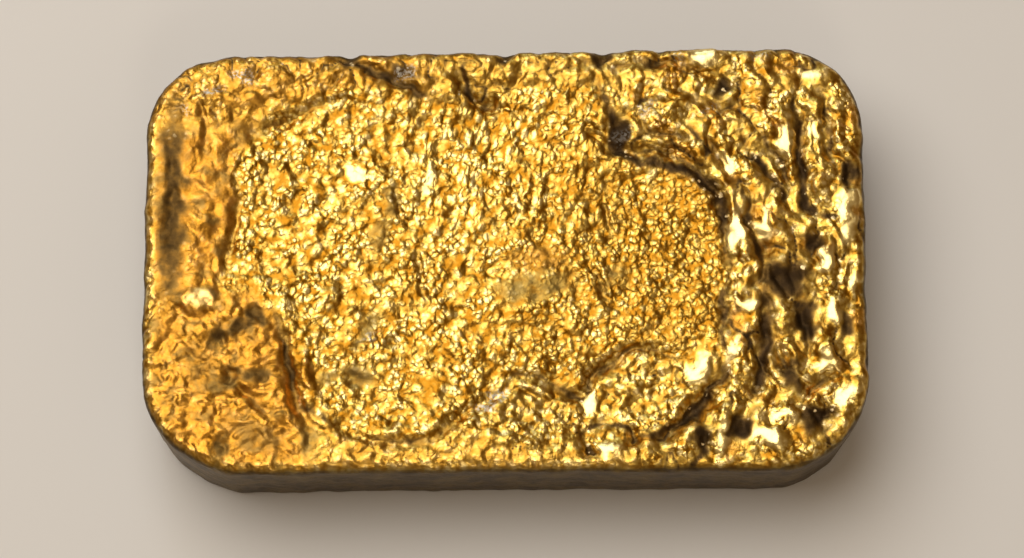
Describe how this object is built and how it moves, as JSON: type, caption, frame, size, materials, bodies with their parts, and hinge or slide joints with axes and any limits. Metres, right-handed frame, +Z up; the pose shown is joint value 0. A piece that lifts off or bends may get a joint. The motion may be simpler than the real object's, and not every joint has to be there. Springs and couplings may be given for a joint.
{
  "type": "metal ingot",
  "caption": "Hand-poured gold bar with rounded corners, a rolled rim and a rough, creased and granular cast top",
  "frame": {"origin": "on the floor, under the middle of the plan", "axes": "+X along the ingot, +Y across it, +Z up through the cast top"},
  "size_m": [0.08, 0.0492, 0.0149],
  "materials": {
    "cast_gold": "satin"
  },
  "bodies": {
    "root": {"ingot": "cast_gold"}
  },
  "joints": []
}
